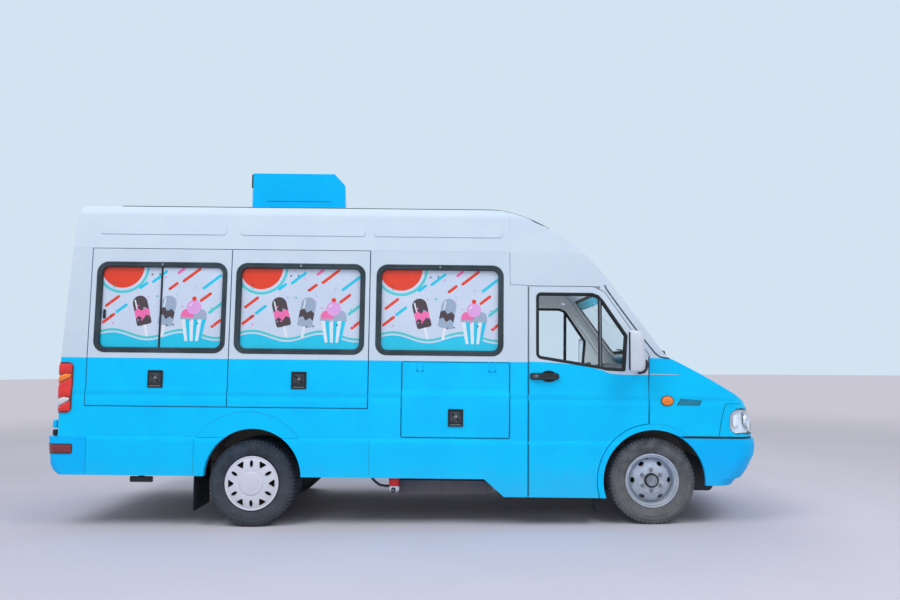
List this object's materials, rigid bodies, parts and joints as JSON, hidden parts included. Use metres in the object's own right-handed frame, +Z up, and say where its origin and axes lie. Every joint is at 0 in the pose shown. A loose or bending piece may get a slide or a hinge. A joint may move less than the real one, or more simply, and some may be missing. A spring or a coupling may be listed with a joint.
{
  "type": "ice cream truck",
  "caption": "High-roof van for serving ice cream, with twin rear wheels, lift-up side hatches, doors, a locker door, a bonnet and a roof box.",
  "frame": {"origin": "centre of the bounding box on the ground that the tyres stand on", "axes": "+X forward along the longest side, +Y to the vehicle's left across the shortest side, +Z up"},
  "size_m": [5.979, 2.38, 3.0936],
  "materials": {
    "body_paint": "gloss",
    "upper_paint": "gloss",
    "glass": "clear",
    "window_rubber": "satin",
    "lamp_clear": "clear",
    "lamp_red": "gloss",
    "lamp_amber": "gloss",
    "chassis_black": "matte",
    "cast_metal": "rough",
    "steel_wheel": "satin",
    "cover_white": "satin",
    "tyre": "matte",
    "black_plastic": "matte",
    "grey_plastic": "matte",
    "locker_navy": "satin",
    "inlet_red": "gloss",
    "seat_fabric": "woven",
    "exhaust_steel": "dull",
    "mirror_white": "gloss"
  },
  "bodies": {
    "body": {"side_right": "body_paint", "side_left": "body_paint", "load_roof": "upper_paint", "cab_roof": "upper_paint", "screen_frame": "upper_paint", "windscreen": "glass", "front_wings": "body_paint", "grille": "body_paint", "headlamps": "lamp_clear", "front_bumper": "body_paint", "rear_bumper": "body_paint", "side_windows": "window_rubber", "tail_lamps": "lamp_red", "amber_lamps": "lamp_amber", "floor": "grey_plastic", "chassis_frame": "chassis_black", "roof_box": "body_paint", "front_suspension": "chassis_black", "rear_axle": "cast_metal", "engine": "cast_metal", "fuel_tank": "black_plastic", "exhaust": "exhaust_steel", "under_locker": "locker_navy", "power_inlet": "inlet_red", "mudflaps": "black_plastic", "dashboard": "grey_plastic", "seat_frames": "black_plastic", "seat_cushions": "seat_fabric", "wipers": "black_plastic"},
    "hatch_rear_leaf": {"hatch_rear": "body_paint", "hatch_window_rear": "window_rubber"},
    "hatch_front_leaf": {"hatch_front": "body_paint", "hatch_window_front": "window_rubber"},
    "locker_leaf": {"locker_door": "body_paint"},
    "bonnet_lid": {"bonnet": "body_paint"},
    "steering": {"steering_wheel": "black_plastic"},
    "cab_door_right_leaf": {"cab_door_right": "body_paint", "cab_window_right": "glass", "mirror_right": "mirror_white"},
    "rear_door_right_leaf": {"rear_door_right": "upper_paint", "rear_window_right": "glass"},
    "front_knuckle_right": {"knuckle_right": "cast_metal"},
    "front_wheel_right": {"tyre_front_right": "tyre", "wheel_front_right": "steel_wheel"},
    "rear_wheels_right": {"tyres_rear_right": "tyre", "wheels_rear_right": "steel_wheel", "wheel_cover_right": "cover_white"},
    "cab_door_left_leaf": {"cab_door_left": "body_paint", "cab_window_left": "glass", "mirror_left": "mirror_white"},
    "rear_door_left_leaf": {"rear_door_left": "upper_paint", "rear_window_left": "glass"},
    "front_knuckle_left": {"knuckle_left": "cast_metal"},
    "front_wheel_left": {"tyre_front_left": "tyre", "wheel_front_left": "steel_wheel"},
    "rear_wheels_left": {"tyres_rear_left": "tyre", "wheels_rear_left": "steel_wheel", "wheel_cover_left": "cover_white"}
  },
  "joints": [
    {"name": "hatch_rear_hinge", "type": "hinge", "parent": "body", "child": "hatch_rear_leaf", "pos_m": [-2.07804, -0.95508, 2.30543], "axis": [-0.9999, 0, 0.0157], "range_deg": [0, 80]},
    {"name": "hatch_front_hinge", "type": "hinge", "parent": "body", "child": "hatch_front_leaf", "pos_m": [-0.90919, -0.95508, 2.28706], "axis": [-0.9999, 0, 0.0157], "range_deg": [0, 80]},
    {"name": "locker_hinge", "type": "hinge", "parent": "body", "child": "locker_leaf", "pos_m": [0.38308, -0.984, 1.33915], "axis": [-0.9999, 0, 0.0157], "range_deg": [0, 80]},
    {"name": "bonnet_hinge", "type": "hinge", "parent": "body", "child": "bonnet_lid", "pos_m": [2.17652, 0, 1.35328], "axis": [0, -1, 0], "range_deg": [0, 50]},
    {"name": "cab_door_right_hinge", "type": "hinge", "parent": "body", "child": "cab_door_right_leaf", "pos_m": [1.98282, -0.995, 1.11899], "axis": [0.0157, 0, 0.9999], "range_deg": [0, 68]},
    {"name": "rear_door_right_hinge", "type": "hinge", "parent": "body", "child": "rear_door_right_leaf", "pos_m": [-2.90965, -0.888, 1.44588], "axis": [0.0157, 0, 0.9999], "range_deg": [0, 90]},
    {"name": "steer_right", "type": "hinge", "parent": "body", "child": "front_knuckle_right", "pos_m": [2.004, -0.77, 0.355], "axis": [0.0157, 0, 0.9999], "range_deg": [-30, 30]},
    {"name": "front_wheel_right_spin", "type": "hinge", "parent": "front_knuckle_right", "child": "front_wheel_right", "pos_m": [2.004, -0.842, 0.355], "axis": [0, 1, 0], "continuous": true},
    {"name": "rear_wheels_right_spin", "type": "hinge", "parent": "body", "child": "rear_wheels_right", "pos_m": [-1.306, -0.862, 0.355], "axis": [0, 1, 0], "continuous": true},
    {"name": "cab_door_left_hinge", "type": "hinge", "parent": "body", "child": "cab_door_left_leaf", "pos_m": [1.98282, 0.995, 1.11899], "axis": [-0.0157, 0, -0.9999], "range_deg": [0, 68]},
    {"name": "rear_door_left_hinge", "type": "hinge", "parent": "body", "child": "rear_door_left_leaf", "pos_m": [-2.90965, 0.888, 1.44588], "axis": [-0.0157, 0, -0.9999], "range_deg": [0, 90]},
    {"name": "steer_left", "type": "hinge", "parent": "body", "child": "front_knuckle_left", "pos_m": [2.004, 0.77, 0.355], "axis": [0.0157, 0, 0.9999], "range_deg": [-30, 30]},
    {"name": "front_wheel_left_spin", "type": "hinge", "parent": "front_knuckle_left", "child": "front_wheel_left", "pos_m": [2.004, 0.842, 0.355], "axis": [0, 1, 0], "continuous": true},
    {"name": "rear_wheels_left_spin", "type": "hinge", "parent": "body", "child": "rear_wheels_left", "pos_m": [-1.306, 0.862, 0.355], "axis": [0, 1, 0], "continuous": true},
    {"name": "steering_wheel_turn", "type": "hinge", "parent": "body", "child": "steering", "pos_m": [1.57889, 0.43, 1.19035], "axis": [-0.6032, 0, 0.7976], "range_deg": [-480, 480]}
  ],
  "couplings": [
    {"joint": "steer_left", "follows": "steering_wheel_turn", "ratio": 0.0625},
    {"joint": "steer_right", "follows": "steering_wheel_turn", "ratio": 0.0625}
  ]
}
